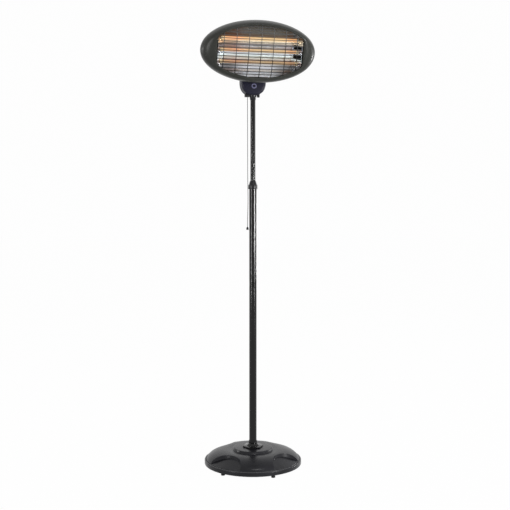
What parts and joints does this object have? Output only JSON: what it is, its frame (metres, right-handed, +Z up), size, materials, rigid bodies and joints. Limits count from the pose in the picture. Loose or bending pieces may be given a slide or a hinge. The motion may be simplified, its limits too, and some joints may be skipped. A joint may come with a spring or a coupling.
{
  "type": "infrared patio heater tower",
  "caption": "Floor-standing quartz infrared patio heater: tilting oval head with grille and heating tubes on a telescopic pole, pull-cord switch, weighted round base.",
  "frame": {"origin": "centre of the floor under the round base, below the pole's axis", "axes": "+Z up along the pole, -Y the way the head looks, +X to the right seen from the front"},
  "size_m": [0.494, 0.418, 1.9046],
  "materials": {
    "black_enamel": "glossy black powder coat",
    "charcoal_cover": "glossy charcoal moulding",
    "olive_grey_aluminium": "satin olive-grey paint on pressed aluminium",
    "navy_plastic": "fine-textured navy-black moulding",
    "black_plastic": "fine-textured black moulding",
    "pale_plastic": "semi-gloss pale lavender moulding",
    "cast_concrete": "cast concrete",
    "zinc_steel": "zinc-plated steel",
    "polished_aluminium": "bright rolled mirror sheet",
    "wire_steel": "dark plated steel wire",
    "foot_rubber": "matt black rubber",
    "quartz_glass": "clear quartz lit from inside",
    "glowing_wire": "glowing resistance wire",
    "tube_ceramic": "matt beige ceramic",
    "grey_cord": "braided grey cord"
  },
  "bodies": {
    "base": {"base_cover": "charcoal_cover", "base_weight": "cast_concrete", "base_plate": "zinc_steel", "foot_1": "foot_rubber", "foot_2": "foot_rubber", "foot_3": "foot_rubber", "foot_4": "foot_rubber", "foot_5": "foot_rubber", "foot_flange": "black_enamel", "base_bolt": "zinc_steel", "base_washer": "zinc_steel", "pole_plug": "black_plastic", "pole_coupler": "black_enamel", "lower_pole_bottom": "black_enamel", "lower_pole_top": "black_enamel", "collar_body": "black_plastic", "collar_collet": "black_plastic"},
    "collar": {"collar_nut": "black_plastic"},
    "glide": {"glide_bush": "black_plastic"},
    "mast": {"upper_pole": "black_enamel", "mast_end_plug": "black_plastic", "neck": "black_plastic", "housing_front": "navy_plastic", "housing_back": "navy_plastic", "screw_cap_ring": "pale_plastic", "housing_screw_left": "zinc_steel", "housing_screw_right": "zinc_steel", "cord_outlet": "black_plastic", "cable_gland": "black_plastic", "switch_body": "black_plastic", "tilt_bracket": "black_enamel", "tilt_bolt": "zinc_steel", "tilt_nut": "zinc_steel", "friction_washer_left": "black_plastic", "friction_washer_right": "black_plastic"},
    "head": {"head_shell": "olive_grey_aluminium", "head_bezel": "olive_grey_aluminium", "head_hinge": "black_enamel", "grille": "wire_steel", "reflector": "polished_aluminium", "heat_shield": "zinc_steel", "terminal_block": "tube_ceramic", "tube_bracket_left": "zinc_steel", "tube_bracket_right": "zinc_steel", "quartz_tube_1": "quartz_glass", "quartz_tube_2": "quartz_glass", "quartz_tube_3": "quartz_glass", "heating_coil_1": "glowing_wire", "heating_coil_2": "glowing_wire", "heating_coil_3": "glowing_wire", "tube_cap_1_left": "tube_ceramic", "tube_cap_1_right": "tube_ceramic", "tube_cap_2_left": "tube_ceramic", "tube_cap_2_right": "tube_ceramic", "tube_cap_3_left": "tube_ceramic", "tube_cap_3_right": "tube_ceramic"},
    "pull": {"pull_link": "zinc_steel", "pull_cord": "grey_cord", "pull_knob": "black_plastic"},
    "lever": {"switch_lever": "pale_plastic"}
  },
  "joints": [
    {"name": "collar_turn", "type": "hinge", "parent": "base", "child": "collar", "pos_m": [0, 0, 1.21], "axis": [0, 0, 1], "range_deg": [0, 120]},
    {"name": "height_slide", "type": "slide", "parent": "base", "child": "glide", "axis": [0, 0, 1], "range_m": [-0.15, 0.1]},
    {"name": "mast_swivel", "type": "hinge", "parent": "glide", "child": "mast", "pos_m": [0, 0, 1.007], "axis": [0, 0, 1], "range_deg": [-90, 90]},
    {"name": "head_tilt", "type": "hinge", "parent": "mast", "child": "head", "pos_m": [0, 0.008, 1.718], "axis": [1, 0, 0], "range_deg": [-25, 15]},
    {"name": "cord_pull", "type": "slide", "parent": "mast", "child": "pull", "axis": [0, 0, -1], "range_m": [0, 0.008], "stiffness_N_per_m": 800},
    {"name": "lever_rock", "type": "hinge", "parent": "mast", "child": "lever", "pos_m": [-0.0038, 0, 1.652], "axis": [0, -1, 0], "range_deg": [0, 22]}
  ],
  "couplings": [
    {"joint": "lever_rock", "follows": "cord_pull", "rad_per_m": 44}
  ]
}
